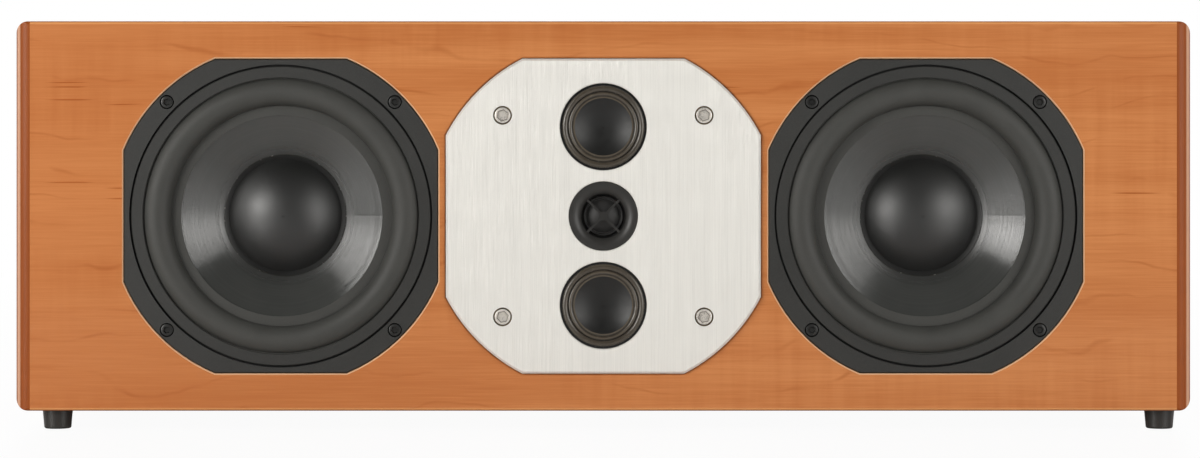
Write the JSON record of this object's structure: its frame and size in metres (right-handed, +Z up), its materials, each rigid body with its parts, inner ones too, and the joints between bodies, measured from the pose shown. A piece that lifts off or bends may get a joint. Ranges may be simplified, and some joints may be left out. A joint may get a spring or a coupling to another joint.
{
  "type": "loudspeaker",
  "caption": "Long wooden loudspeaker lying on rubber feet, with large woofers either side of a brushed metal plate that carries concave midranges and a guarded tweeter, and a rear terminal cup.",
  "frame": {"origin": "on the floor under the middle of the loudspeaker's box", "axes": "+Z up, the front faces -Y, +X along the cabinet's length, to the right as seen from the front"},
  "size_m": [0.677, 0.292, 0.235],
  "materials": {
    "front_veneer": "gloss",
    "corner_wood": "gloss",
    "case_veneer": "gloss",
    "enclosure_board": "matte",
    "foot_rubber": "matte",
    "basket_metal": "satin",
    "trim_plastic": "matte",
    "surround_rubber": "satin",
    "cone_plastic": "satin",
    "cap_plastic": "gloss",
    "coil_copper": "satin",
    "spider_cloth": "matte",
    "plated_steel": "satin",
    "ferrite": "matte",
    "black_screw": "satin",
    "brushed_plate": "satin",
    "bright_screw": "satin",
    "gasket_foam": "matte",
    "mid_surround_cloth": "satin",
    "mid_dome_cloth": "satin",
    "tweeter_cloth": "satin",
    "tweeter_edge": "satin",
    "cup_plastic": "matte",
    "post_brass": "polished",
    "red_cap": "gloss",
    "black_cap": "gloss",
    "board_laminate": "satin",
    "copper_wire": "satin",
    "capacitor_film": "gloss",
    "lining_felt": "matte",
    "lead_sleeve": "satin"
  },
  "bodies": {
    "cabinet": {"front_baffle": "front_veneer", "left_corner_strip": "corner_wood", "right_corner_strip": "corner_wood", "top_panel": "case_veneer", "bottom_panel": "case_veneer", "left_side_panel": "case_veneer", "right_side_panel": "case_veneer", "rear_panel": "case_veneer", "mid_enclosure": "enclosure_board", "rubber_feet": "foot_rubber", "left_woofer_basket": "basket_metal", "right_woofer_basket": "basket_metal", "left_woofer_trim_ring": "trim_plastic", "right_woofer_trim_ring": "trim_plastic", "tweeter_faceplate": "trim_plastic", "lower_mid_frame": "trim_plastic", "upper_mid_frame": "trim_plastic", "left_woofer_surround": "surround_rubber", "right_woofer_surround": "surround_rubber", "left_woofer_spider": "spider_cloth", "right_woofer_spider": "spider_cloth", "left_woofer_top_plate": "plated_steel", "right_woofer_top_plate": "plated_steel", "left_woofer_yoke": "plated_steel", "right_woofer_yoke": "plated_steel", "lower_mid_motor": "plated_steel", "upper_mid_motor": "plated_steel", "tweeter_motor": "plated_steel", "left_woofer_magnet": "ferrite", "right_woofer_magnet": "ferrite", "woofer_screws": "black_screw", "terminal_cup_screws": "black_screw", "driver_plate": "brushed_plate", "plate_screws": "bright_screw", "crossover_screws": "bright_screw", "woofer_gaskets": "gasket_foam", "plate_gasket": "gasket_foam", "lower_mid_surround": "mid_surround_cloth", "upper_mid_surround": "mid_surround_cloth", "tweeter_surround": "tweeter_edge", "terminal_cup": "cup_plastic", "binding_posts": "post_brass", "crossover_board": "board_laminate", "crossover_inductors": "copper_wire", "crossover_capacitors": "capacitor_film", "damping_lining": "lining_felt", "wiring_leads": "lead_sleeve"},
    "left_cone": {"left_woofer_cone": "cone_plastic", "left_woofer_dust_cap": "cap_plastic", "left_woofer_voice_coil": "coil_copper"},
    "right_cone": {"right_woofer_cone": "cone_plastic", "right_woofer_dust_cap": "cap_plastic", "right_woofer_voice_coil": "coil_copper"},
    "lower_mid_diaphragm": {"lower_mid_dome": "mid_dome_cloth"},
    "upper_mid_diaphragm": {"upper_mid_dome": "mid_dome_cloth"},
    "tweeter_diaphragm": {"tweeter_dome": "tweeter_cloth"},
    "red_clamp_washer": {"red_post_washer": "post_brass"},
    "red_thumb_nut": {"red_post_cap": "red_cap"},
    "black_clamp_washer": {"black_post_washer": "post_brass"},
    "black_thumb_nut": {"black_post_cap": "black_cap"}
  },
  "joints": [
    {"name": "left_cone_travel", "type": "slide", "parent": "cabinet", "child": "left_cone", "axis": [0, -1, 0], "range_m": [-0.005, 0.005], "stiffness_N_per_m": 1100, "deforming": ["left_woofer_surround", "left_woofer_spider"]},
    {"name": "right_cone_travel", "type": "slide", "parent": "cabinet", "child": "right_cone", "axis": [0, -1, 0], "range_m": [-0.005, 0.005], "stiffness_N_per_m": 1100, "deforming": ["right_woofer_surround", "right_woofer_spider"]},
    {"name": "lower_mid_travel", "type": "slide", "parent": "cabinet", "child": "lower_mid_diaphragm", "axis": [0, -1, 0], "range_m": [-0.001, 0.001], "stiffness_N_per_m": 120, "deforming": ["lower_mid_surround"]},
    {"name": "upper_mid_travel", "type": "slide", "parent": "cabinet", "child": "upper_mid_diaphragm", "axis": [0, -1, 0], "range_m": [-0.001, 0.001], "stiffness_N_per_m": 120, "deforming": ["upper_mid_surround"]},
    {"name": "tweeter_travel", "type": "slide", "parent": "cabinet", "child": "tweeter_diaphragm", "axis": [0, -1, 0], "range_m": [-0.0003, 0.0003], "stiffness_N_per_m": 30, "deforming": ["tweeter_surround"]},
    {"name": "red_post_rise", "type": "slide", "parent": "cabinet", "child": "red_clamp_washer", "axis": [0, 1, 0], "range_m": [0, 0.005]},
    {"name": "red_post_turn", "type": "hinge", "parent": "red_clamp_washer", "child": "red_thumb_nut", "pos_m": [0.00953, 0.129, 0.123], "axis": [0, 1, 0], "range_deg": [0, 1836]},
    {"name": "black_post_rise", "type": "slide", "parent": "cabinet", "child": "black_clamp_washer", "axis": [0, 1, 0], "range_m": [0, 0.005]},
    {"name": "black_post_turn", "type": "hinge", "parent": "black_clamp_washer", "child": "black_thumb_nut", "pos_m": [-0.00953, 0.129, 0.123], "axis": [0, 1, 0], "range_deg": [0, 1836]}
  ],
  "couplings": [
    {"joint": "red_post_turn", "follows": "red_post_rise", "rad_per_m": 6283.2},
    {"joint": "black_post_turn", "follows": "black_post_rise", "rad_per_m": 6283.2}
  ]
}
